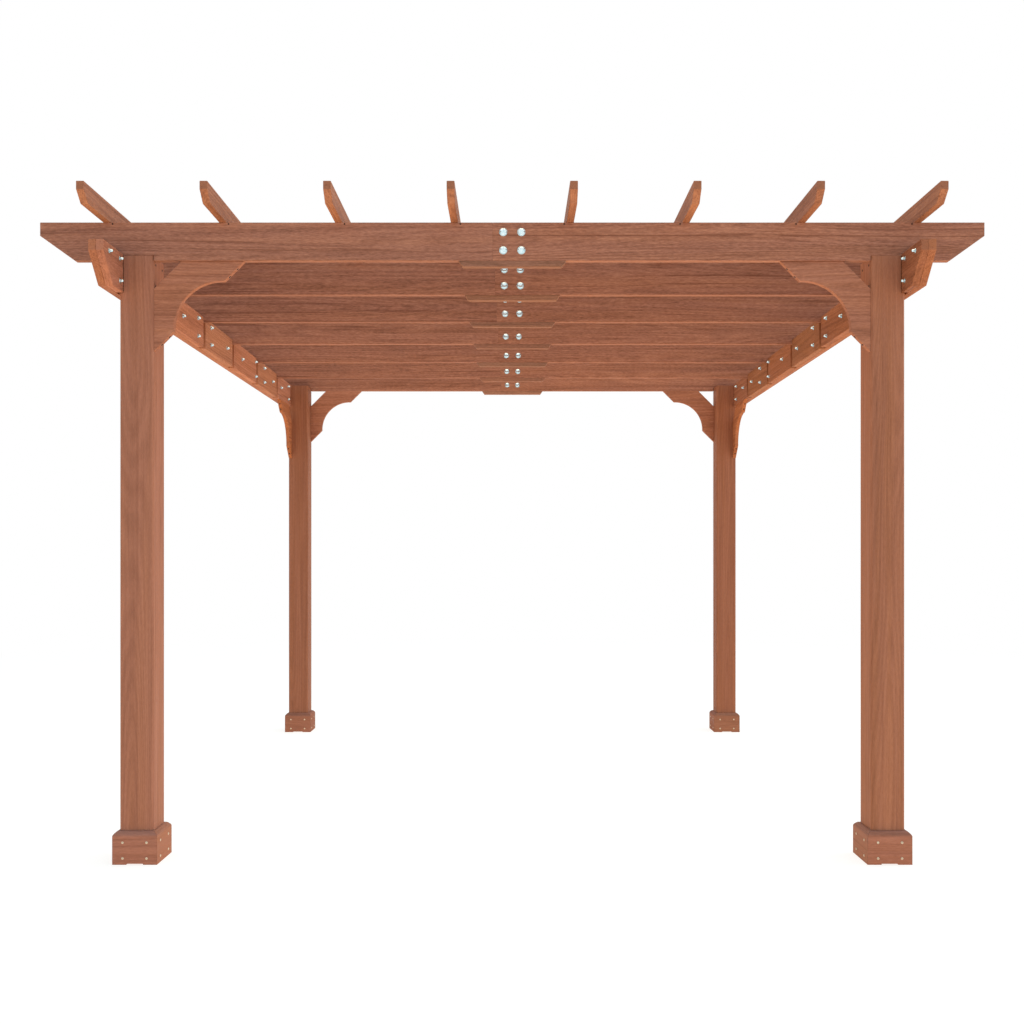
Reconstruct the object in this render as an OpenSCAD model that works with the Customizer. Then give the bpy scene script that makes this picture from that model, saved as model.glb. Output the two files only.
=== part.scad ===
// Open garden pergola of notched cedar boards on four posts.
// Seven lapped rafters cross two side beams, and eight battens lie on top.
// X runs along the rafters, Y along the side beams, Z is up from the ground.
// The origin is on the ground, in the middle of the four posts.

/* [Roof size] */
// Length of a rafter from tip to tip
rafter_l = 3600; // [2800:2:6000]
// Length of a batten from tip to tip
batten_l = 3600; // [2800:2:6000]
// How far the rafters reach past the outer faces of the posts
rafter_over = 304; // [220:1:600]
// How far the battens reach past the outer faces of the posts
batten_over = 245; // [120:1:600]
// How far the side beams reach past the outer faces of the posts
side_over = 193; // [110:1:500]

/* [Posts] */
// Width of a square post
post_w = 128; // [90:1:200]
// Height of a post
post_h = 2316; // [1900:1:3000]
// Chamfer on the long edges of a post
post_edge = 6; // [1:0.5:12]
// Depth of the housing in a post's outer face that takes the side beam
housing = 14; // [6:1:30]

/* [Base trim] */
// Thickness of the boards round a post's foot
trim_t = 21; // [16:1:40]
// Height of these boards
trim_h = 125; // [60:1:250]
// Bevel on their top outer edge
trim_bevel = 14; // [4:1:14]
// Width of the relief under the front and back boards
relief_w = 64; // [20:1:100]
// Height of that relief
relief_h = 4; // [1:0.5:15]

/* [Rafters] */
// Height of a rafter board
rafter_h = 146; // [110:1:240]
// Thickness of a rafter board
rafter_t = 28; // [20:1:60]
// How far a rafter's underside hangs below the post tops
rafter_drop = 20; // [8:1:40]
// Upright part of a rafter's end
rafter_nose = 51; // [20:1:90]
// Length of the sloping cut under a rafter's end
rafter_cut = 133; // [60:1:220]
// Length of the half lap at the middle of a rafter
lap_l = 150; // [100:2:400]

/* [Splice blocks] */
// Length of the block under each lap
splice_l = 411; // [300:1:800]
// Height of this block
splice_h = 23; // [12:1:60]
// How far its sloping ends run in
splice_cut = 16; // [4:1:40]

/* [Side beams] */
// Height of a side beam
side_h = 146; // [110:1:240]
// Thickness of its outer board
board_t = 28; // [20:1:60]
// Thickness of the blocks on its inner side
block_t = 28; // [20:1:60]
// How far a side beam's top stands above the post tops
side_rise = 4; // [1:1:20]
// Upright part of a side beam's end
side_nose = 40; // [20:1:90]
// Length of the sloping cut under a side beam's end
side_cut = 92; // [40:1:180]

/* [Braces] */
// Length of a brace along the beam and down the post
brace_leg = 345; // [260:1:600]
// Clear corner between a brace, its beam and its post
brace_gap = 105; // [40:1:150]
// Length and height of the mitred tips
brace_tip = 76; // [40:1:100]
// Radius of the scallop on a brace's long edge
brace_r = 185; // [170:1:400]
// Thickness of a brace
brace_t = 22; // [16:1:40]

/* [Battens] */
// Height of a batten
batten_h = 70; // [40:1:140]
// Thickness of a batten
batten_t = 28; // [20:1:60]
// Distance from a rafter's tip to the middle of the nearest batten
batten_inset = 254; // [60:1:400]
// Upright part of a batten's end
batten_nose = 30; // [10:1:36]
// Length of the sloping cut under a batten's end
batten_cut = 40; // [20:1:120]

/* [Fits] */
// Play on each side of a notch or slot
notch_play = 2; // [0.5:0.5:5]
// Gap in a lap joint or a mitre
joint_gap = 0.4; // [0.2:0.1:1]

/* [Hidden] */
$fn = 96;
cedar = "#a0654e";
cedar_dark = "#955a44";
cedar_light = "#aa6f55";

// Distances over the outer faces of the posts, and the length of a side beam
span_x = rafter_l - 2 * rafter_over;
span_y = batten_l - 2 * batten_over;
side_l = span_y + 2 * side_over;

// Post faces and the planes of the side beams
post_out_x = span_x / 2;
post_in_x = post_out_x - post_w;
post_out_y = span_y / 2;
post_in_y = post_out_y - post_w;
block_in_x = post_out_x - housing;
board_in_x = block_in_x + block_t;
board_out_x = board_in_x + board_t;

// Levels
side_top = post_h + side_rise;
side_base = side_top - side_h;
rafter_base = post_h - rafter_drop;
rafter_top = rafter_base + rafter_h;

// Number of rafters, and of battens on top of them
rafter_n = 7;
batten_n = 8;

// Rafter positions: the outer faces of the first and last are flush with the posts
rafter_step = (span_y - rafter_t) / (rafter_n - 1);
function rafter_y(i) = -post_out_y + i * rafter_step;

// Batten positions
batten_reach = rafter_l - 2 * batten_inset;
batten_step = batten_reach / (batten_n - 1);
function batten_x(i) = -batten_reach / 2 + i * batten_step;

// Turns the piece made for the front left corner into the one at corner (sx, sy)
module corner(sx, sy) {
    mirror([sx > 0 ? 1 : 0, 0, 0])
        mirror([0, sy > 0 ? 1 : 0, 0])
            children();
}

// Stands a profile drawn in X and Z upright, from depth y over thickness t
module upright_x(y, t) {
    translate([0, y + t, 0])
        rotate([90, 0, 0])
            linear_extrude(t)
                children();
}

// Stands a profile drawn in Y and Z upright, from x over thickness t
module upright_y(x, t) {
    translate([x, 0, 0])
        rotate([90, 0, 90])
            linear_extrude(t)
                children();
}

// Board outline, lying along the first axis, with its lower ends cut to a slope
module board_outline(l, base, h, nose, cut) {
    polygon([
        [-l / 2, base + h],
        [-l / 2, base + h - nose],
        [-l / 2 + cut, base],
        [l / 2 - cut, base],
        [l / 2, base + h - nose],
        [l / 2, base + h]
    ]);
}

// Square post with chamfered edges and a housing for the side beam
module post() {
    difference() {
        translate([-post_out_x, -post_out_y, 0])
            linear_extrude(post_h)
                polygon([
                    [post_edge, 0],
                    [post_w - post_edge, 0],
                    [post_w, post_edge],
                    [post_w, post_w - post_edge],
                    [post_w - post_edge, post_w],
                    [post_edge, post_w],
                    [0, post_w - post_edge],
                    [0, post_edge]
                ]);
        translate([-block_in_x - 2 * housing, -post_out_y - post_w / 2, side_base])
            cube([2 * housing, 2 * post_w, side_h]);
    }
}

// Section of a base board: bevelled on its top outer edge
module trim_section() {
    polygon([
        [0, 0],
        [trim_t, 0],
        [trim_t, trim_h - trim_bevel],
        [trim_t - trim_bevel, trim_h],
        [0, trim_h]
    ]);
}

// One base board on the face of a post, mitred at both ends; a relieved one is cut away below
module trim_board(relieved) {
    reach = post_w / 2 + trim_t;
    difference() {
        intersection() {
            translate([-reach, -post_w / 2, 0])
                rotate([90, 0, 90])
                    mirror([1, 0, 0])
                        linear_extrude(2 * reach)
                            trim_section();
            linear_extrude(trim_h)
                polygon([
                    [0, -joint_gap],
                    [reach, -reach - joint_gap],
                    [-reach, -reach - joint_gap]
                ]);
        }
        if (relieved)
            translate([-relief_w / 2, -reach - 1, -1])
                cube([relief_w, trim_t + 2, relief_h + 1]);
    }
}

// Four mitred boards round the foot of a post, relieved in front and behind
module base_trim() {
    translate([-post_out_x + post_w / 2, -post_out_y + post_w / 2, 0])
        for (turn = [0:3])
            rotate(turn * 90)
                trim_board(relieved = turn % 2 == 0);
}

// Outer board of a side beam, in one length
module side_board() {
    upright_y(-board_out_x, board_t)
        board_outline(side_l, side_base, side_h, side_nose, side_cut);
}

// Inner blocks of a side beam, parted by the slots that take the rafters
module side_blocks() {
    difference() {
        upright_y(-board_in_x, block_t)
            board_outline(side_l, side_base, side_h, side_nose, side_cut);
        for (i = [0:rafter_n - 1])
            translate([-board_in_x - 1, rafter_y(i) - notch_play, side_base - 1])
                cube([block_t + 2, rafter_t + 2 * notch_play, side_h + 2]);
    }
}

// Notches under both ends of a rafter: over the beam boards, and over the posts where it meets them
module rafter_notches(over_post) {
    for (side = [-1, 1]) {
        translate([side * (board_in_x + board_t / 2), rafter_base])
            square([board_t + 2 * notch_play, 2 * (side_top - rafter_base)], center = true);
        if (over_post)
            translate([side * (post_in_x + board_out_x) / 2, rafter_base])
                square([board_out_x - post_in_x + 2 * notch_play, 2 * rafter_drop], center = true);
    }
}

// Rafter in two lengths, joined by a half lap at the middle
module rafter(i) {
    y = rafter_y(i);
    over_post = i == 0 || i == rafter_n - 1;
    lap_t = (rafter_t - joint_gap) / 2;
    for (half = [-1, 1])
        difference() {
            upright_x(y, rafter_t)
                difference() {
                    board_outline(rafter_l, rafter_base, rafter_h, rafter_nose, rafter_cut);
                    rafter_notches(over_post);
                }
            // the other half of the length
            translate([half < 0 ? lap_l / 2 : -rafter_l - lap_l / 2 + joint_gap, y - 1, rafter_base - 1])
                cube([rafter_l, rafter_t + 2, rafter_h + 2]);
            // the other half of the lap's thickness
            translate([
                half < 0 ? -lap_l / 2 : -lap_l,
                half < 0 ? y - 1 : y + lap_t,
                rafter_base - 1
            ])
                cube([
                    half < 0 ? lap_l + 1 : 1.5 * lap_l + joint_gap,
                    rafter_t - lap_t + 1,
                    rafter_h + 2
                ]);
        }
}

// Blocks under the laps, with sloping ends
module splice_blocks_all() {
    for (i = [0:rafter_n - 1])
        upright_x(rafter_y(i), rafter_t)
            polygon([
                [-splice_l / 2, rafter_base],
                [splice_l / 2, rafter_base],
                [splice_l / 2 - splice_cut, rafter_base - splice_h],
                [-splice_l / 2 + splice_cut, rafter_base - splice_h]
            ]);
}

// Brace outline from the corner of a post and a beam: mitred tips and a scalloped long edge
module brace_outline() {
    far = brace_leg - brace_tip;
    chord_sq = pow(far - brace_tip, 2);
    centre = (brace_leg + sqrt(max(0, 2 * brace_r * brace_r - chord_sq))) / 2;
    difference() {
        polygon([
            [brace_gap, 0],
            [brace_leg, 0],
            [far, -brace_tip],
            [brace_tip, -far],
            [0, -brace_leg],
            [0, -brace_gap]
        ]);
        translate([centre, -centre])
            circle(brace_r);
    }
}

// Brace between a post and the first or last rafter, flush with the rafter's inner face
module cross_brace() {
    upright_x(-post_out_y + rafter_t - brace_t, brace_t)
        translate([-post_in_x, rafter_base])
            brace_outline();
}

// Brace between a post and a side beam, flush with the post's outer face
module side_brace() {
    upright_y(-post_out_x, brace_t)
        translate([-post_in_y, side_base])
            brace_outline();
}

// Batten lying on the rafters
module batten(i) {
    upright_y(batten_x(i) - batten_t / 2, batten_t)
        board_outline(batten_l, rafter_top, batten_h, batten_nose, batten_cut);
}

module front_left_post() { color(cedar) corner(-1, -1) post(); }
module front_right_post() { color(cedar) corner(1, -1) post(); }
module back_left_post() { color(cedar) corner(-1, 1) post(); }
module back_right_post() { color(cedar) corner(1, 1) post(); }
module front_left_base_trim() { color(cedar_light) corner(-1, -1) base_trim(); }
module front_right_base_trim() { color(cedar_light) corner(1, -1) base_trim(); }
module back_left_base_trim() { color(cedar_light) corner(-1, 1) base_trim(); }
module back_right_base_trim() { color(cedar_light) corner(1, 1) base_trim(); }
module left_side_beam() { color(cedar) side_board(); }
module right_side_beam() { color(cedar) mirror([1, 0, 0]) side_board(); }
module left_beam_blocks() { color(cedar_light) side_blocks(); }
module right_beam_blocks() { color(cedar_light) mirror([1, 0, 0]) side_blocks(); }
module front_rafter() { color(cedar) rafter(0); }
module rafter_2() { color(cedar) rafter(1); }
module rafter_3() { color(cedar) rafter(2); }
module rafter_4() { color(cedar) rafter(3); }
module rafter_5() { color(cedar) rafter(4); }
module rafter_6() { color(cedar) rafter(5); }
module back_rafter() { color(cedar) rafter(6); }
module splice_blocks() { color(cedar_dark) splice_blocks_all(); }
module front_left_cross_brace() { color(cedar) corner(-1, -1) cross_brace(); }
module front_right_cross_brace() { color(cedar) corner(1, -1) cross_brace(); }
module back_left_cross_brace() { color(cedar) corner(-1, 1) cross_brace(); }
module back_right_cross_brace() { color(cedar) corner(1, 1) cross_brace(); }
module front_left_side_brace() { color(cedar_dark) corner(-1, -1) side_brace(); }
module front_right_side_brace() { color(cedar_dark) corner(1, -1) side_brace(); }
module back_left_side_brace() { color(cedar_dark) corner(-1, 1) side_brace(); }
module back_right_side_brace() { color(cedar_dark) corner(1, 1) side_brace(); }
module batten_1() { color(cedar_light) batten(0); }
module batten_2() { color(cedar_light) batten(1); }
module batten_3() { color(cedar_light) batten(2); }
module batten_4() { color(cedar_light) batten(3); }
module batten_5() { color(cedar_light) batten(4); }
module batten_6() { color(cedar_light) batten(5); }
module batten_7() { color(cedar_light) batten(6); }
module batten_8() { color(cedar_light) batten(7); }

front_left_post();
front_right_post();
back_left_post();
back_right_post();
front_left_base_trim();
front_right_base_trim();
back_left_base_trim();
back_right_base_trim();
left_side_beam();
right_side_beam();
left_beam_blocks();
right_beam_blocks();
front_rafter();
rafter_2();
rafter_3();
rafter_4();
rafter_5();
rafter_6();
back_rafter();
splice_blocks();
front_left_cross_brace();
front_right_cross_brace();
back_left_cross_brace();
back_right_cross_brace();
front_left_side_brace();
front_right_side_brace();
back_left_side_brace();
back_right_side_brace();
batten_1();
batten_2();
batten_3();
batten_4();
batten_5();
batten_6();
batten_7();
batten_8();
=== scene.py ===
"""A cedar pergola: posts, lapped rafters, side beams, scalloped braces and battens.

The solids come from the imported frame. This script eases their edges, gives each
board its own stained grain, and adds the bolts, nuts, washers and screws.
"""

import math

import bmesh
import bpy
from mathutils import Matrix, Vector


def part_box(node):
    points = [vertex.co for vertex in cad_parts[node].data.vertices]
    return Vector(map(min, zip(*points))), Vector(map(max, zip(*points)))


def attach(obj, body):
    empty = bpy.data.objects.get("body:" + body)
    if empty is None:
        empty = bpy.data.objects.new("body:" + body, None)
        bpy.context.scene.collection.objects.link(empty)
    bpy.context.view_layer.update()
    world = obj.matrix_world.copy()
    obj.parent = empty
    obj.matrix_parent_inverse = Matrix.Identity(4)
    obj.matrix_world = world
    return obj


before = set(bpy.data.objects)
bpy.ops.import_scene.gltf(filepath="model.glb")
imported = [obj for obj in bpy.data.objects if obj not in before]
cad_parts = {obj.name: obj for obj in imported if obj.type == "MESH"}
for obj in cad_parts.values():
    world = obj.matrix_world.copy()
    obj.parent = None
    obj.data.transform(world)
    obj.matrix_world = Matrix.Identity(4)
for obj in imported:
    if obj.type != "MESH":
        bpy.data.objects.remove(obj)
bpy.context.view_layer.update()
scene = bpy.context.scene

MM = 0.001
CORNERS = ("front_left", "front_right", "back_left", "back_right")
RAFTERS = ("front_rafter", *(f"rafter_{i}" for i in range(2, 7)), "back_rafter")
BATTENS = tuple(f"batten_{i}" for i in range(1, 9))


def srgb(red, green, blue):
    """A colour written as 0 to 255 becomes the linear colour that a shader takes."""

    def linear(value):
        value /= 255
        return value / 12.92 if value <= 0.04045 else ((value + 0.055) / 1.055) ** 2.4

    return (linear(red), linear(green), linear(blue), 1.0)


def grey(level):
    return (level, level, level, 1.0)


# ---------------------------------------------------------------- camera

IMAGE = 1024  # pixels across the square picture
FOCAL = 1035.0  # focal length in pixels
VANISH = (512.3, 557.5)  # pixel that the camera looks straight at
CAMERA_AT = (0.0, -5.499, 1.165)
SENSOR = 36.0
SIGHT = 200.0  # metres that the camera sees

camera_data = bpy.data.cameras.new("camera")
camera_data.sensor_fit = "HORIZONTAL"
camera_data.sensor_width = SENSOR
camera_data.lens = SENSOR * FOCAL / IMAGE
camera_data.shift_x = (IMAGE / 2 - VANISH[0]) / IMAGE
camera_data.shift_y = (VANISH[1] - IMAGE / 2) / IMAGE
camera_data.clip_end = SIGHT
camera = bpy.data.objects.new("camera", camera_data)
camera.location = CAMERA_AT
camera.rotation_euler = (math.radians(90), 0.0, 0.0)
scene.collection.objects.link(camera)
scene.camera = camera


# ---------------------------------------------------------------- shader helpers


class Tree:
    """Adds nodes to a shader tree. An input is a socket to link or a value to set."""

    def __init__(self, tree):
        self.nodes, self.links = tree.nodes, tree.links
        self.nodes.clear()

    def feed(self, socket, value):
        if isinstance(value, bpy.types.NodeSocket):
            self.links.new(value, socket)
        else:
            socket.default_value = value

    def node(self, kind, inputs=None, **settings):
        made = self.nodes.new("ShaderNode" + kind)
        for name, value in settings.items():
            setattr(made, name, value)
        for name, value in (inputs or {}).items():
            self.feed(made.inputs[name], value)
        return made

    def math(self, operation, *values):
        made = self.node("Math", operation=operation)
        for socket, value in zip(made.inputs, values):
            self.feed(socket, value)
        return made.outputs[0]

    def vector(self, operation, *values):
        made = self.node("VectorMath", operation=operation)
        for socket, value in zip(made.inputs, values):
            self.feed(socket, value)
        return made.outputs[0]

    def mix(self, factor, a, b, blend="MIX"):
        made = self.node("Mix", data_type="RGBA", blend_type=blend)
        for index, value in ((0, factor), (6, a), (7, b)):
            self.feed(made.inputs[index], value)
        return made.outputs[2]

    def noise(self, place, detail, roughness=0.5, scale=1.0):
        return self.node(
            "TexNoise",
            {
                "Vector": place,
                "Scale": scale,
                "Detail": detail,
                "Roughness": roughness,
            },
        )

    def span(self, value, low, high, to_low, to_high):
        made = self.node("MapRange", clamp=True)
        for socket, given in zip(made.inputs, (value, low, high, to_low, to_high)):
            self.feed(socket, given)
        return made.outputs[0]

    def ramp(self, value, *stops):
        made = self.node("ValToRGB", {"Fac": value})
        elements = made.color_ramp.elements
        while len(elements) < len(stops):
            elements.new(0.5)
        for element, (place, colour) in zip(elements, stops):
            element.position, element.color = place, colour
        return made.outputs[0]

    def weighted(self, start, *terms):
        """start plus each term's weight times how far its value is from one half."""
        total = start
        for value, weight in terms:
            away = self.math("SUBTRACT", value, 0.5)
            total = self.math("MULTIPLY_ADD", away, weight, total)
        return total

    def add(self, a, b):
        made = self.node("AddShader")
        self.feed(made.inputs[0], a)
        self.feed(made.inputs[1], b)
        return made.outputs[0]

    def choose(self, factor, a, b):
        made = self.node("MixShader", {"Fac": factor})
        self.feed(made.inputs[1], a)
        self.feed(made.inputs[2], b)
        return made.outputs[0]


def new_material(name):
    made = bpy.data.materials.new(name)
    made.use_nodes = True
    return made, Tree(made.node_tree)


# ---------------------------------------------------------------- wood

# Layers of the grain: scale along the board, scale across it, detail, roughness.
BANDS = (0.3, 14.0, 2.0, 0.5)
HUES = (0.7, 34.0, 2.0, 0.5)
FLECKS = (48.0, 290.0, 2.0, 0.6)
FIBRES = (60.0, 520.0, 2.0, 0.5)
VEINS = (0.3, 115.0, 1.0, 0.5)
RING_FIELD = (0.3, 6.0, 1.0, 0.5)
STREAK_LENGTHWAYS, STREAK_DETAIL, STREAK_ROUGHNESS = 1.3, 4.0, 0.65
RINGS = 230.0  # radians of growth ring over the whole range of their noise

WANDER = (0.8, 2.5)  # scale of the grain's wandering along the board and across it
WANDER_REACH = 0.05  # metres
BOARD_APART = 31.7  # keeps the random numbers of the boards apart
BOARD_SHIFT = (19.0, 23.0, 29.0)  # metres over which boards are cut from the grain
END_SPAN = (0.8, 0.97)  # how squarely a face cuts the grain, from side to end
END_LOSS = 0.65  # share of its figure that an end loses
# The lighter end of the side wood is partly its paler end grain and partly painted
# light, which fills the shade in the gaps between the blocks of the side beams.
END_TONE, PALE_END_AND_PAINTED_LIGHT = -0.06, 0.12  # how much darker or lighter an end is

# How much each layer adds to the tone, the bump and the roughness.
TONE = {"bands": 0.6, "streaks": 0.9, "fibres": 0.5, "rings": 0.2}
BUMP = {"streaks": 0.4, "fibres": 0.7, "flecks": 0.8, "rings": 0.15, "veins": 0.8}
BUMP_STRENGTH, BUMP_DEPTH = 0.4, 1.2 * MM
ROUGH, ROUGH_STREAKS, ROUGH_FIBRES = 0.62, -0.3, 0.25
SHEEN = 0.06  # specular level of the satin stain

SHADE_STOPS = (0.12, 0.5, 0.88)  # tones that show the dark, middle and light shades
AMBER, VEIN = srgb(191, 188, 178), srgb(104, 60, 44)
AMBER_SPAN, AMBER_MOST = (0.4, 0.64), 0.6
VEIN_SPAN, VEIN_MOST = (0.61, 0.7), 0.45
OWN_HUE, OWN_SATURATION, OWN_VALUE = (0.497, 0.503), (0.96, 1.04), (0.965, 1.035)


def along(axis, lengthways, across):
    """A scale that is lengthways along the grain's axis and across on the other two."""
    return tuple(lengthways if a == axis else across for a in "XYZ")


def level_grain(t, place, normal):
    """A place whose X runs level along each upright face."""
    axes = t.node("SeparateXYZ", {"Vector": place}).outputs
    swapped = t.node("CombineXYZ", {"X": axes["Y"], "Y": axes["X"], "Z": axes["Z"]})
    sideways = t.math(
        "GREATER_THAN",
        t.math("ABSOLUTE", normal.outputs["X"]),
        t.math("ABSOLUTE", normal.outputs["Y"]),
    )
    chosen = t.node("Mix", data_type="VECTOR")
    t.feed(chosen.inputs[0], sideways)
    t.feed(chosen.inputs[4], place)
    t.feed(chosen.inputs[5], swapped.outputs[0])
    return chosen.outputs[1]


def cedar(name, axis, shades, streak, fleck, contrast, seed, end_tone=END_TONE):
    """Stained cedar with its grain along an axis.

    Each board is an island of its mesh and gets its own tone and its own cut of the
    grain. Axis "trim" runs the grain round the post, level along each face. streak is
    the scale of the streaks across the board, fleck the weight of the flecks.
    """
    light, middle, dark = shades
    material, t = new_material(name)
    place = t.node("TexCoord").outputs["Object"]
    geometry = t.node("NewGeometry")
    normal = t.node("SeparateXYZ", {"Vector": geometry.outputs["True Normal"]})
    if axis == "trim":
        place, axis = level_grain(t, place, normal), "X"

    island = geometry.outputs["Random Per Island"]
    board = t.math("MULTIPLY_ADD", island, BOARD_APART, seed)
    own = t.node("TexWhiteNoise", {"W": board}, noise_dimensions="1D")
    shift = t.vector("MULTIPLY", own.outputs["Color"], BOARD_SHIFT)
    place = t.vector("ADD", place, shift)

    # The grain wanders sideways a little on its way along the board.
    wander = t.noise(t.vector("MULTIPLY", place, along(axis, *WANDER)), 1.0)
    drift = t.vector("SUBTRACT", wander.outputs["Color"], (0.5, 0.5, 0.5))
    drift = t.vector("MULTIPLY", drift, along(axis, 0.0, WANDER_REACH))
    place = t.vector("ADD", place, drift)

    def layer(lengthways, across, detail, roughness):
        scaled = t.vector("MULTIPLY", place, along(axis, lengthways, across))
        return t.noise(scaled, detail, roughness).outputs[0]

    bands, hues, veins = layer(*BANDS), layer(*HUES), layer(*VEINS)
    flecks, fibres = layer(*FLECKS), layer(*FIBRES)
    streaks = layer(STREAK_LENGTHWAYS, streak, STREAK_DETAIL, STREAK_ROUGHNESS)
    # Growth rings are contours of a slow noise, drawn out along the board.
    rings = t.math("SINE", t.math("MULTIPLY", layer(*RING_FIELD), RINGS))
    rings = t.span(rings, -1.0, 1.0, 0.0, 1.0)

    # Cut ends take the stain in another tone and show less figure. Where an end is
    # lighter, as on the side wood, that is partly paler end grain and partly painted
    # light that fills the shade of the gaps between the blocks.
    end = t.span(t.math("ABSOLUTE", normal.outputs[axis]), *END_SPAN, 0.0, 1.0)
    figure = t.math("MULTIPLY_ADD", end, -END_LOSS * contrast, contrast)

    tone = t.weighted(
        0.5,
        (bands, t.math("MULTIPLY", figure, TONE["bands"])),
        (streaks, t.math("MULTIPLY", figure, TONE["streaks"])),
        (flecks, t.math("MULTIPLY", figure, fleck)),
        (fibres, t.math("MULTIPLY", figure, TONE["fibres"])),
        (rings, t.math("MULTIPLY", figure, TONE["rings"])),
    )
    tone = t.math("MULTIPLY_ADD", end, end_tone, tone)
    colour = t.ramp(tone, *zip(SHADE_STOPS, (dark, middle, light)))
    warmer = t.span(hues, *AMBER_SPAN, 0.0, AMBER_MOST)
    colour = t.mix(warmer, colour, AMBER, "SOFT_LIGHT")
    vein = t.span(veins, *VEIN_SPAN, 0.0, VEIN_MOST * contrast * fleck)
    colour = t.mix(vein, colour, VEIN)

    personal = t.node("SeparateColor", {"Color": own.outputs["Color"]})
    tint = t.node(
        "HueSaturation",
        {
            "Hue": t.span(personal.outputs[0], 0.0, 1.0, *OWN_HUE),
            "Saturation": t.span(personal.outputs[1], 0.0, 1.0, *OWN_SATURATION),
            "Value": t.span(personal.outputs[2], 0.0, 1.0, *OWN_VALUE),
            "Color": colour,
        },
    )

    height = t.weighted(
        0.5,
        (streaks, BUMP["streaks"]),
        (fibres, BUMP["fibres"]),
        (flecks, BUMP["flecks"]),
        (rings, BUMP["rings"]),
    )
    height = t.math("SUBTRACT", height, t.math("MULTIPLY", vein, BUMP["veins"]))
    bump = t.node(
        "Bump", {"Strength": BUMP_STRENGTH, "Distance": BUMP_DEPTH, "Height": height}
    )
    shader = t.node(
        "BsdfPrincipled",
        {
            "Base Color": tint.outputs[0],
            "Roughness": t.weighted(
                ROUGH, (streaks, ROUGH_STREAKS), (fibres, ROUGH_FIBRES)
            ),
            "Normal": bump.outputs[0],
            "Specular IOR Level": SHEEN,
        },
    )
    t.node("OutputMaterial", {"Surface": shader.outputs[0]})
    return material


# The light, middle and dark shade of each wood.
POST = srgb(182, 126, 103), srgb(160, 108, 87), srgb(132, 87, 69)
# Painted shade: the back posts and their base trims get a darker copy of the post's
# shades, for the shade they stand in under the roof.
PAINTED_SHADE_POST = srgb(168, 115, 93), srgb(146, 97, 77), srgb(119, 76, 59)
RAFTER = srgb(178, 124, 100), srgb(154, 104, 84), srgb(123, 81, 64)
SPLICE = srgb(170, 122, 99), srgb(145, 103, 84), srgb(115, 80, 63)
BRACE = srgb(183, 126, 98), srgb(159, 106, 82), srgb(128, 83, 62)
SIDE = srgb(182, 120, 88), srgb(158, 102, 73), srgb(126, 78, 55)
# Painted light and shade: the blocks of the left beam get a lighter copy of the side's
# shades and those of the right beam a darker one, for the light that falls from the
# right.
SIDE_PAINTED_LIGHT = srgb(190, 128, 101), srgb(165, 109, 84), srgb(132, 83, 63)
SIDE_PAINTED_SHADE = srgb(170, 112, 84), srgb(147, 95, 69), srgb(117, 72, 51)
BATTEN = srgb(183, 125, 91), srgb(159, 105, 77), srgb(126, 81, 58)

POST_GRAIN = {"streak": 75.0, "fleck": 0.5, "contrast": 0.62}
TRIM_GRAIN = {"streak": 85.0, "fleck": 0.8, "contrast": 0.6}
RAFTER_GRAIN = {"streak": 105.0, "fleck": 1.3, "contrast": 0.85}
SPLICE_GRAIN = {"streak": 90.0, "fleck": 0.9, "contrast": 0.8}
BRACE_GRAIN = {"streak": 85.0, "fleck": 1.1, "contrast": 0.7}
# The side wood's lighter ends are partly painted light in the gaps between the blocks.
SIDE_GRAIN = {"streak": 60.0, "fleck": 1.1, "contrast": 0.8, "end_tone": PALE_END_AND_PAINTED_LIGHT}
BATTEN_GRAIN = {"streak": 70.0, "fleck": 1.0, "contrast": 0.8}

POST_WOOD = cedar("cedar_post", "Z", POST, seed=3.0, **POST_GRAIN)
# Post and trim wood with painted shade, for the back corners.
PAINTED_SHADE_POST_WOOD = cedar("cedar_post_painted_shade", "Z", PAINTED_SHADE_POST, seed=8.0, **POST_GRAIN)
TRIM_WOOD = cedar("cedar_trim", "trim", POST, seed=7.0, **TRIM_GRAIN)
PAINTED_SHADE_TRIM_WOOD = cedar("cedar_trim_painted_shade", "trim", PAINTED_SHADE_POST, seed=9.0, **TRIM_GRAIN)
RAFTER_WOOD = cedar("cedar_rafter", "X", RAFTER, seed=1.0, **RAFTER_GRAIN)
SPLICE_WOOD = cedar("cedar_splice", "X", SPLICE, seed=5.0, **SPLICE_GRAIN)
CROSS_WOOD = cedar("cedar_cross_brace", "X", BRACE, seed=2.0, **BRACE_GRAIN)
SIDE_WOOD = cedar("cedar_side", "Y", SIDE, seed=4.0, **SIDE_GRAIN)
# The same side wood with painted light for the left blocks and painted shade for the
# right blocks.
BLOCK_PAINTED_LIGHT_WOOD = cedar("cedar_light", "Y", SIDE_PAINTED_LIGHT, seed=4.0, **SIDE_GRAIN)
BLOCK_PAINTED_SHADE_WOOD = cedar("cedar_painted_shade_block", "Y", SIDE_PAINTED_SHADE, seed=4.0, **SIDE_GRAIN)
BATTEN_WOOD = cedar("cedar_batten", "Y", BATTEN, seed=6.0, **BATTEN_GRAIN)

# The first entry whose words are all in a node's name gives its wood.
WOODS = (
    # The back posts and back trims take the woods with painted shade.
    (("back_", "_post"), PAINTED_SHADE_POST_WOOD),
    (("_post",), POST_WOOD),
    (("back_", "_trim"), PAINTED_SHADE_TRIM_WOOD),
    (("_trim",), TRIM_WOOD),
    (("rafter",), RAFTER_WOOD),
    (("splice",), SPLICE_WOOD),
    (("cross_brace",), CROSS_WOOD),
    (("side_brace",), SIDE_WOOD),
    # The left blocks take the wood with painted light, the right blocks the wood with
    # painted shade.
    (("left_beam_blocks",), BLOCK_PAINTED_LIGHT_WOOD),
    (("right_beam_blocks",), BLOCK_PAINTED_SHADE_WOOD),
    (("side_beam",), SIDE_WOOD),
    (("batten",), BATTEN_WOOD),
)


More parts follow.
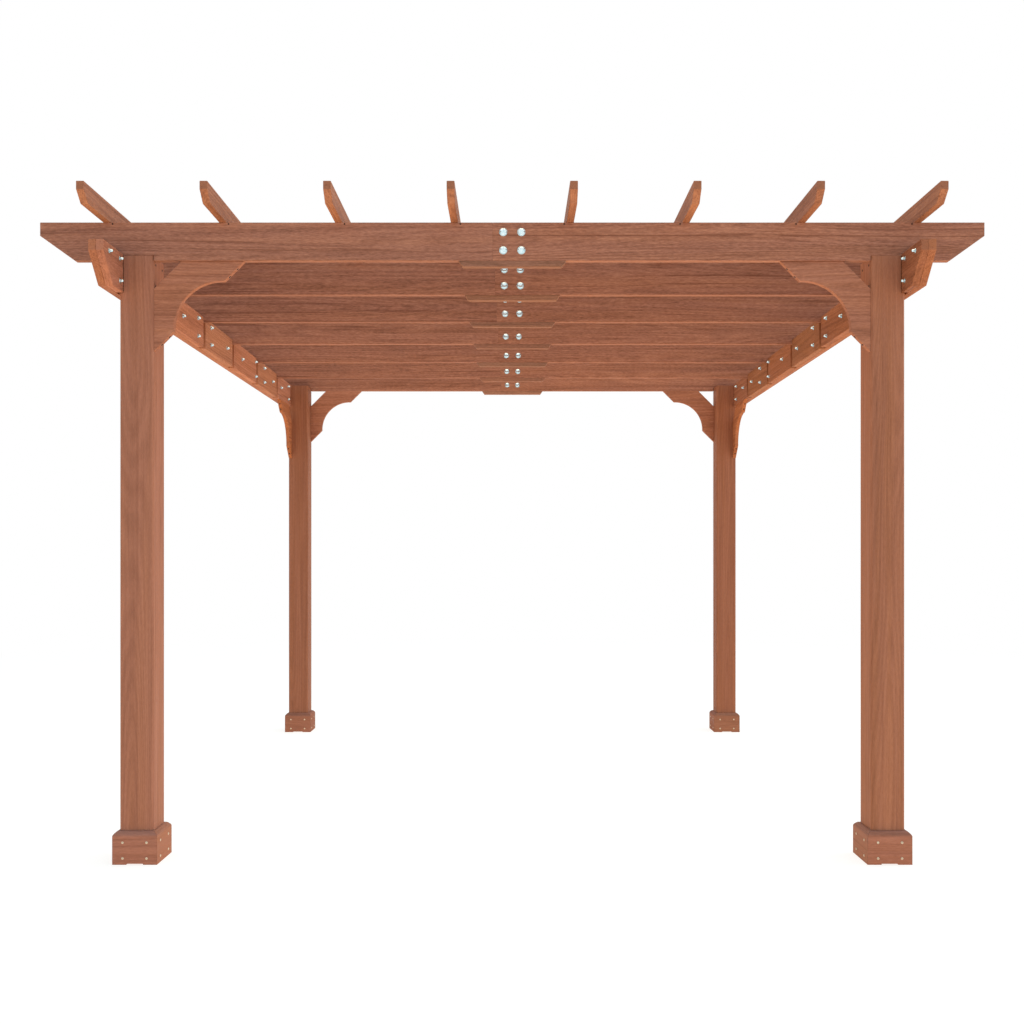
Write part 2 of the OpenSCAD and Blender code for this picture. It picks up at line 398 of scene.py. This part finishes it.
def wood_of(node):
    return next(wood for words, wood in WOODS if all(w in node for w in words))


# ---------------------------------------------------------------- eased edges

EASE, EASE_STEPS = 1.5 * MM, 2  # width and steps of an eased edge
TRIM_EASE, TRIM_STEPS = 5.0 * MM, 4  # the same on the bevel of a base trim
EASE_ANGLE = math.radians(28)  # only sharper edges are eased
FLAT_ANGLE = math.radians(0.6)  # faces that turn less than this are one face
WELD = 1e-5
LAP_HALF = 0.12  # no edge is eased this near a lap's middle, so that it stays tight
TRIM_LOW = 0.1  # the bevel of a base trim is above this height
TRIM_CLEAR = 3 * MM  # how far an eased edge of a base trim is from its post
MITRE_CLEAR = 0.25  # and from its mitres, as a share of half a post's width


def lap_edges(t, x, _y, _z):
    """The edges of a rafter that are clear of its lap."""
    return t.math("GREATER_THAN", t.math("ABSOLUTE", x), LAP_HALF)


def trim_edges(t, x, y, z):
    """The two edges of a base trim's bevel, but not its mitres."""
    low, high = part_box("back_right_post")
    centre, half = (low + high) / 2, (high.x - low.x) / 2
    away_x = t.math("ABSOLUTE", t.math("SUBTRACT", t.math("ABSOLUTE", x), centre.x))
    away_y = t.math("ABSOLUTE", t.math("SUBTRACT", t.math("ABSOLUTE", y), centre.y))
    reach = t.math("MAXIMUM", away_x, away_y)
    outer = t.math("GREATER_THAN", reach, half + TRIM_CLEAR)
    apart = t.math("ABSOLUTE", t.math("SUBTRACT", away_x, away_y))
    straight = t.math("GREATER_THAN", apart, half * MITRE_CLEAR)
    upper = t.math("GREATER_THAN", z, TRIM_LOW)
    return t.math("MULTIPLY", t.math("MULTIPLY", outer, straight), upper)


def clean_solid(name, eased=None):
    """Joins each solid's faces, shades them flat and may mark the edges to ease."""
    group = bpy.data.node_groups.new(name, "GeometryNodeTree")
    t = Tree(group)
    for side in ("INPUT", "OUTPUT"):
        group.interface.new_socket(
            "Geometry", in_out=side, socket_type="NodeSocketGeometry"
        )

    def add(kind, **inputs):
        made = group.nodes.new(kind)
        for key, value in inputs.items():
            made.inputs[key.replace("_", " ")].default_value = value
        return made

    chain = [
        add("NodeGroupInput"),
        add("GeometryNodeRemoveAttribute", Name="custom_normal"),
        add("GeometryNodeMergeByDistance", Distance=WELD),
        add("GeometryNodeSetShadeSmooth", Shade_Smooth=False),
    ]
    if eased:
        weight = add("GeometryNodeStoreNamedAttribute", Name="bevel_weight_edge")
        weight.data_type, weight.domain = "FLOAT", "EDGE"
        position = add("GeometryNodeInputPosition").outputs[0]
        place = t.node("SeparateXYZ", {"Vector": position})
        t.feed(weight.inputs["Value"], eased(t, *place.outputs))
        chain.append(weight)
    chain.append(add("NodeGroupOutput"))
    for before, after in zip(chain, chain[1:]):
        group.links.new(before.outputs[0], after.inputs[0])
    return group


PLAIN = clean_solid("plain_solid")
LAPPED = clean_solid("lapped_solid", lap_edges)
MITRED = clean_solid("mitred_solid", trim_edges)
for name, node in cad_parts.items():
    for slot in node.material_slots:
        slot.material = wood_of(name)
    group, width, steps = PLAIN, EASE, EASE_STEPS
    if name in RAFTERS:
        group = LAPPED
    elif name.endswith("_base_trim"):
        group, width, steps = MITRED, TRIM_EASE, TRIM_STEPS
    node.modifiers.new("clean", "NODES").node_group = group
    flat = node.modifiers.new("flat", "DECIMATE")
    flat.decimate_type = "DISSOLVE"
    flat.angle_limit = FLAT_ANGLE
    ease = node.modifiers.new("ease", "BEVEL")
    ease.limit_method = "ANGLE" if group == PLAIN else "WEIGHT"
    ease.angle_limit = EASE_ANGLE
    ease.width = width
    ease.segments = steps


# ---------------------------------------------------------------- metal

CLOUD_SCALE, CLOUD_DETAIL, CLOUD_ROUGHNESS = 160.0, 3.0, 0.6
GRIT_SCALE, GRIT_DETAIL = 1400.0, 2.0
MOTTLE = (0.3, 0.65)  # where the clouds show the dark and the light shade
GLOSS_CLOUD, GLOSS_GRIT = 0.2, 0.15  # how much they add to the roughness
GRIT_STRENGTH, GRIT_DEPTH = 0.05, 0.2 * MM


def metal(name, light, dark, rough, metallic=1.0):
    """Plated steel, a little mottled, with fine wear in its gloss."""
    material, t = new_material(name)
    place = t.node("TexCoord").outputs["Object"]
    cloud = t.noise(place, CLOUD_DETAIL, CLOUD_ROUGHNESS, CLOUD_SCALE).outputs[0]
    grit = t.noise(place, GRIT_DETAIL, scale=GRIT_SCALE).outputs[0]
    bump = t.node(
        "Bump", {"Strength": GRIT_STRENGTH, "Distance": GRIT_DEPTH, "Height": grit}
    )
    shader = t.node(
        "BsdfPrincipled",
        {
            "Base Color": t.ramp(cloud, *zip(MOTTLE, (dark, light))),
            "Metallic": metallic,
            "Roughness": t.weighted(rough, (cloud, GLOSS_CLOUD), (grit, GLOSS_GRIT)),
            "Normal": bump.outputs[0],
        },
    )
    t.node("OutputMaterial", {"Surface": shader.outputs[0]})
    return material


# The zinc's cyan tint is partly painted reflection: it stands in for a blue sky
# reflected in the bolt heads.
ZINC_WITH_PAINTED_SKY = metal("zinc_painted_sky_tint", srgb(238, 252, 253), srgb(190, 226, 234), rough=0.2)
CREAM = metal(
    "pale_screw", srgb(226, 210, 184), srgb(186, 168, 140), rough=0.4, metallic=0.35
)
# Near-black screw heads: their darkness is partly a dark coating and partly painted
# shade, standing in for the shade of the holes they sit in.
SCREW_PAINTED_HOLE_SHADE = metal(
    "screw_painted_hole_shade", srgb(58, 34, 25), srgb(34, 19, 14), rough=0.55, metallic=0.4
)


# ---------------------------------------------------------------- fasteners

FINE, COARSE = 48, 24  # sides of a turned solid, and of a small one
SMALL = 6.0  # radius in mm up to which a solid is small
SHARP = math.radians(32)  # edges that turn more than this stay sharp


def even(_turn):
    return 1.0


def polygon(sides):
    """An outline: a polygon's distance at an angle, next to its least distance."""

    def outline(turn):
        half = math.pi / sides
        return 1.0 / math.cos((turn + half) % (2 * half) - half)

    return outline


hexagon, square = polygon(6), polygon(4)


def turned(bm, place, profile):
    """Adds a closed solid from rings of (radius, height in mm, outline), base first."""
    sides = FINE if profile[0][0] > SMALL else COARSE
    turns = [math.tau * i / sides for i in range(sides)]

    def ring(radius, height, outline):
        for a in turns:
            reach = radius * outline(a)
            point = Vector((reach * math.cos(a), reach * math.sin(a), height)) * MM
            yield bm.verts.new(place @ point)

    rings = [list(ring(*row)) for row in profile]
    for low, high in zip(rings, rings[1:]):
        for i in range(sides):
            j = (i + 1) % sides
            bm.faces.new((low[i], low[j], high[j], high[i]))
    bm.faces.new(rings[0][::-1])
    bm.faces.new(rings[-1])


DOME_CUT = 0.35  # share of a step that is cut off the top of a dome


def dome(radius, base, height, steps=5):
    """Rings of a dome, from its widest at base up to a small flat crown."""
    turns = [math.pi / 2 * k / (steps + DOME_CUT) for k in range(steps + 1)]
    return [(radius * math.cos(a), base + height * math.sin(a), even) for a in turns]


def washer(radius, thick):
    """A flat washer with its rims taken off, more on top."""
    under, over = 0.5, 0.6
    return [
        (radius - under, 0.0, even),
        (radius, under, even),
        (radius, thick - over, even),
        (radius - over, thick, even),
    ]


NUT_FOOT, NUT_TOP = 0.96, 0.97  # a nut is turned down to these shares at its ends
NUT_RISE = 0.6  # height of the turned part at its foot


def cap_nut(flats, collar, height):
    """A hexagon nut under a round cap. flats is the distance across the hexagon."""
    half = flats / 2
    cap, seat = half * 0.9, collar + 0.4
    return [
        (half * NUT_FOOT, 0.0, even),
        (half, NUT_RISE, hexagon),
        (half, collar - 0.8, hexagon),
        (half * NUT_TOP, collar, even),
        (cap, seat - 0.1, even),
        *dome(cap, seat, height - seat),
    ]


def plain_nut(flats, thick, bolt, reach):
    """A hexagon nut with the end of its bolt showing."""
    half = flats / 2
    gap, point = 0.4, 0.8  # play round the bolt, and the bevel on its end
    return [
        (half * NUT_FOOT, 0.0, even),
        (half, NUT_RISE, hexagon),
        (half, thick - 0.7, hexagon),
        (half * NUT_TOP, thick, even),
        (bolt + gap, thick, even),
        (bolt, thick - 0.5, even),
        (bolt, reach - point, even),
        (bolt - point, reach, even),
    ]


def carriage_head(radius, height):
    """A low dome on a thin rim."""
    rim = radius * 0.1
    crown = rim * 1.3
    return [
        (radius - 0.3, 0.0, even),
        (radius, 0.4, even),
        (radius, rim, even),
        (radius - rim * 0.5, crown, even),
        (radius - rim, rim * 1.1, even),
        *dome(radius - rim, crown, height - crown, 6),
    ]


def screw_head(radius, height, drive):
    """A low round head with a square recess for the driver."""
    return [
        (radius, 0.0, even),
        (radius, height * 0.35, even),
        (radius * 0.86, height * 0.75, even),
        (radius * 0.62, height, even),
        (drive, height, square),
        (drive * 0.85, height * 0.2, square),
    ]


def facing(point, outward):
    """A place in metres whose own Z points outward."""
    turn = Vector(outward).normalized().to_track_quat("Z", "Y").to_matrix().to_4x4()
    return Matrix.Translation(Vector(point)) @ turn


def raised(place, height):
    """The same place, moved outward by a height in mm."""
    return place @ Matrix.Translation((0, 0, height * MM))


def fastener(name, material, solids):
    """One piece from (place, profile) solids. It rides on the frame."""
    bm = bmesh.new()
    for place, profile in solids:
        turned(bm, place, profile)
    bmesh.ops.recalc_face_normals(bm, faces=bm.faces)
    mesh = bpy.data.meshes.new(name)
    bm.to_mesh(mesh)
    bm.free()
    mesh.polygons.foreach_set("use_smooth", [True] * len(mesh.polygons))
    mesh.set_sharp_from_angle(angle=SHARP)
    mesh.materials.append(material)
    piece = bpy.data.objects.new(name, mesh)
    scene.collection.objects.link(piece)
    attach(piece, "root")


# Sizes in millimetres.
LAP_HEAD = {"radius": 15.2, "height": 7.0}
LAP_WASHER = {"radius": 15.0, "thick": 2.4}
LAP_NUT = {"flats": 17.0, "thick": 8.0, "bolt": 5.0, "reach": 11.0}
BEAM_HEAD = {"radius": 10.0, "height": 4.5}
BEAM_WASHER = {"radius": 9.8, "thick": 2.0}
BEAM_NUT = {"flats": 13.0, "collar": 3.5, "height": 12.5}
TRIM_SCREW = {"radius": 4.8, "height": 1.8, "drive": 1.6}
BRACE_SCREW = {"radius": 5.0, "height": 0.7, "drive": 2.0}
TOE_SCREW = {"radius": 3.2, "height": 0.6, "drive": 1.3}
POST_SCREW = {"radius": 4.8, "height": 0.8, "drive": 1.9}

# Four bolts clamp each rafter's lap: round heads in front, washers and nuts behind.
LAP_X = 34.6 * MM  # from the middle of the lap
LAP_RISES = (-33.8 * MM, 35.6 * MM)  # from the middle of the rafter's height
for name in RAFTERS:
    low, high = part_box(name)
    solids = []
    for x in (-LAP_X, LAP_X):
        for rise in LAP_RISES:
            z = (low.z + high.z) / 2 + rise
            front = facing((x, low.y, z), (0, -1, 0))
            back = facing((x, high.y, z), (0, 1, 0))
            solids.append((front, carriage_head(**LAP_HEAD)))
            solids.append((back, washer(**LAP_WASHER)))
            solids.append((raised(back, LAP_WASHER["thick"]), plain_nut(**LAP_NUT)))
    fastener(f"{name}_bolts", ZINC_WITH_PAINTED_SKY, solids)

# Bolts through the blocks and the side beams, in mm: place along the beam, and
# heights from the middle of the beam.
PAIR, SINGLE, HIGH = (-37.0, 47.0), (5.0,), (46.0,)
BEAM_BOLTS = (
    (-1693, HIGH),
    (-1589, PAIR),
    (-1340, PAIR),
    (-1132, SINGLE),
    (-841, SINGLE),
    (-619, PAIR),
    (-408, PAIR),
    (-123, SINGLE),
    (176, SINGLE),
    (474, PAIR),
    (678, PAIR),
    (897, SINGLE),
    (1132, SINGLE),
    (1340, PAIR),
    (1589, PAIR),
    (1693, HIGH),
)
for side, inward in (("left", 1), ("right", -1)):
    blocks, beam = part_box(f"{side}_beam_blocks"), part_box(f"{side}_side_beam")
    inner_x = blocks[1].x if inward > 0 else blocks[0].x
    outer_x = beam[0].x if inward > 0 else beam[1].x
    middle = (blocks[0].z + blocks[1].z) / 2
    solids = []
    for y, rises in BEAM_BOLTS:
        for rise in rises:
            z = middle + rise * MM
            inside = facing((inner_x, y * MM, z), (inward, 0, 0))
            outside = facing((outer_x, y * MM, z), (-inward, 0, 0))
            solids.append((inside, washer(**BEAM_WASHER)))
            solids.append((raised(inside, BEAM_WASHER["thick"]), cap_nut(**BEAM_NUT)))
            solids.append((outside, carriage_head(**BEAM_HEAD)))
    fastener(f"{side}_beam_bolts", ZINC_WITH_PAINTED_SKY, solids)

# Four pale screws in each face of a base trim.
TRIM_X = 45.5 * MM  # from the middle of the face
TRIM_Z = (24 * MM, 84 * MM)
for corner in CORNERS:
    low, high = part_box(f"{corner}_base_trim")
    middle, half = (low + high) / 2, (high.x - low.x) / 2
    solids = []
    for outward in ((1, 0, 0), (-1, 0, 0), (0, 1, 0), (0, -1, 0)):
        out = Vector(outward)
        level = Vector((-out.y, out.x, 0))
        for step in (-TRIM_X, TRIM_X):
            for z in TRIM_Z:
                point = Vector((middle.x, middle.y, z)) + out * half + level * step
                solids.append((facing(point, out), screw_head(**TRIM_SCREW)))
    fastener(f"{corner}_trim_screws", CREAM, solids)

# Two dark screws in each sloping tip of a brace.
BRACE_TIP = 76 * MM  # length and height of a tip
TIP_SHARES = (0.37, 0.76)  # where the screws are along its slope
DOWN = Vector((0, 0, -1))
for corner in CORNERS:
    inward_x = 1 if corner.endswith("left") else -1
    inward_y = 1 if corner.startswith("front") else -1
    for kind in ("cross", "side"):
        low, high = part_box(f"{corner}_{kind}_brace")
        middle, leg = (low + high) / 2, high.z - low.z
        if kind == "cross":
            step = Vector((inward_x, 0, 0))
            start = Vector((low.x if inward_x > 0 else high.x, middle.y, high.z))
        else:
            step = Vector((0, inward_y, 0))
            start = Vector((middle.x, low.y if inward_y > 0 else high.y, high.z))
        solids = []
        for share in TIP_SHARES:
            far, near = leg - BRACE_TIP * share, BRACE_TIP * share
            for run, fall in ((far, near), (near, far)):
                place = facing(start + step * run + DOWN * fall, step + DOWN)
                solids.append((place, screw_head(**BRACE_SCREW)))
        fastener(f"{corner}_{kind}_brace_screws", SCREW_PAINTED_HOLE_SHADE, solids)

# One screw beside the foot of each batten, in each rafter's outer face; its near-black
# head is partly painted shade of its hole.
TOE_ASIDE = 9 * MM  # from the batten, towards the middle of the roof
TOE_DOWN = 6 * MM  # below the rafter's top
for name in RAFTERS:
    low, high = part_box(name)
    last = name == RAFTERS[-1]
    outward, y = ((0, 1, 0), high.y) if last else ((0, -1, 0), low.y)
    solids = []
    for batten in BATTENS:
        foot_low, foot_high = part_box(batten)
        x = foot_high.x + TOE_ASIDE if foot_high.x < 0 else foot_low.x - TOE_ASIDE
        place = facing((x, y, high.z - TOE_DOWN), outward)
        solids.append((place, screw_head(**TOE_SCREW)))
    fastener(f"{name}_screws", SCREW_PAINTED_HOLE_SHADE, solids)

# Four screws through each post into its side beam, seen on its inner face; their
# near-black heads are partly painted shade of their holes.
POST_Y = 36 * MM  # from the middle of the face
POST_DROPS = (110 * MM, 30 * MM)  # below the post's top
for corner in CORNERS:
    low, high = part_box(f"{corner}_post")
    inward = 1 if corner.endswith("left") else -1
    x = high.x if inward > 0 else low.x
    middle = (low.y + high.y) / 2
    solids = []
    for y in (middle - POST_Y, middle + POST_Y):
        for drop in POST_DROPS:
            place = facing((x, y, high.z - drop), (inward, 0, 0))
            solids.append((place, screw_head(**POST_SCREW)))
    fastener(f"{corner}_post_screws", SCREW_PAINTED_HOLE_SHADE, solids)


# ---------------------------------------------------------------- floor and light

FLOOR_HALF = 60.0  # half the floor's width
FLOOR_Z = -0.5 * MM  # just under the feet
FLOOR_GREY, SEEN_GREY = 0.84, 0.3  # of the floor that lights the roof, and as seen
SEEN_GLOW = (0.82, 0.8, 0.76, 1.0)
BOUNCE = (1.0, 0.55, 0.08, 1.0)
SHADOW_FADE = (3.5, 9.0)  # metres from the middle
SKY = (0.58, 0.86, 1.13, 1.0)
SKY_LEVELS = (0.58, 1.06)  # how bright the studio is on the left and on the right


def background_rays(t):
    """1 for rays that look at the background: straight, in gloss or through glass."""
    path = t.node("LightPath")
    seen = t.math(
        "MAXIMUM", path.outputs["Is Camera Ray"], path.outputs["Is Glossy Ray"]
    )
    return t.math("MAXIMUM", seen, path.outputs["Is Transmission Ray"])


floor_mesh = bpy.data.meshes.new("floor")
floor_mesh.from_pydata(
    [
        (x * FLOOR_HALF, y * FLOOR_HALF, FLOOR_Z)
        for x, y in ((-1, -1), (1, -1), (1, 1), (-1, 1))
    ],
    [],
    [(0, 1, 2, 3)],
)
floor = bpy.data.objects.new("floor", floor_mesh)
scene.collection.objects.link(floor)

# The floor throws warm light up at the roof. It looks white, with a faint shadow
# round the feet that fades out before the horizon.
paint, t = new_material("pale_floor")
matte = t.node("BsdfDiffuse", {"Color": grey(FLOOR_GREY)}).outputs[0]
bounce = t.node("Emission", {"Color": BOUNCE}).outputs[0]
faint = t.node("BsdfDiffuse", {"Color": grey(SEEN_GREY)}).outputs[0]
pale = t.node("Emission", {"Color": SEEN_GLOW}).outputs[0]
white = t.node("Emission", {"Color": grey(1.0)}).outputs[0]
place = t.node("TexCoord").outputs["Object"]
away = t.node("VectorMath", {0: place}, operation="LENGTH").outputs["Value"]
far = t.span(away, *SHADOW_FADE, 0.0, 1.0)
seen = t.choose(far, t.add(faint, pale), white)
surface = t.choose(background_rays(t), t.add(matte, bounce), seen)
t.node("OutputMaterial", {"Surface": surface})
floor_mesh.materials.append(paint)

world = bpy.data.worlds.new("studio")
world.use_nodes = True
scene.world = world
t = Tree(world.node_tree)
side = t.node("SeparateXYZ", {"Vector": t.node("TexCoord").outputs["Generated"]})
level = t.span(side.outputs["X"], -1.0, 1.0, *SKY_LEVELS)
soft = t.node("Background", {"Color": SKY, "Strength": level}).outputs[0]
blank = t.node("Background", {"Color": grey(1.0), "Strength": 1.0}).outputs[0]
t.node("OutputWorld", {"Surface": t.choose(background_rays(t), soft, blank)})


def lamp(name, place, target, size, level, colour):
    """A square soft box. level is its light on a surface that faces it at target."""
    reach = Vector(target) - Vector(place)
    data = bpy.data.lights.new(name, "AREA")
    data.shape, data.size = "SQUARE", size
    data.energy = level * math.pi**2 * reach.length_squared
    data.color = colour
    made = bpy.data.objects.new(name, data)
    made.location = place
    made.rotation_euler = reach.to_track_quat("-Z", "Y").to_euler()
    scene.collection.objects.link(made)


lamp(
    "lamp_over",
    place=(0.0, 0.0, 8.0),
    target=(0.0, 0.0, 2.5),
    size=6.0,
    level=0.81,
    colour=(1.0, 0.67, 0.36),
)
lamp(
    "lamp_right",
    place=(10.0, 0.5, 3.2),
    target=(0.0, 0.0, 1.6),
    size=4.0,
    level=0.34,
    colour=(1.0, 0.97, 0.92),
)

scene.view_settings.view_transform = "Standard"
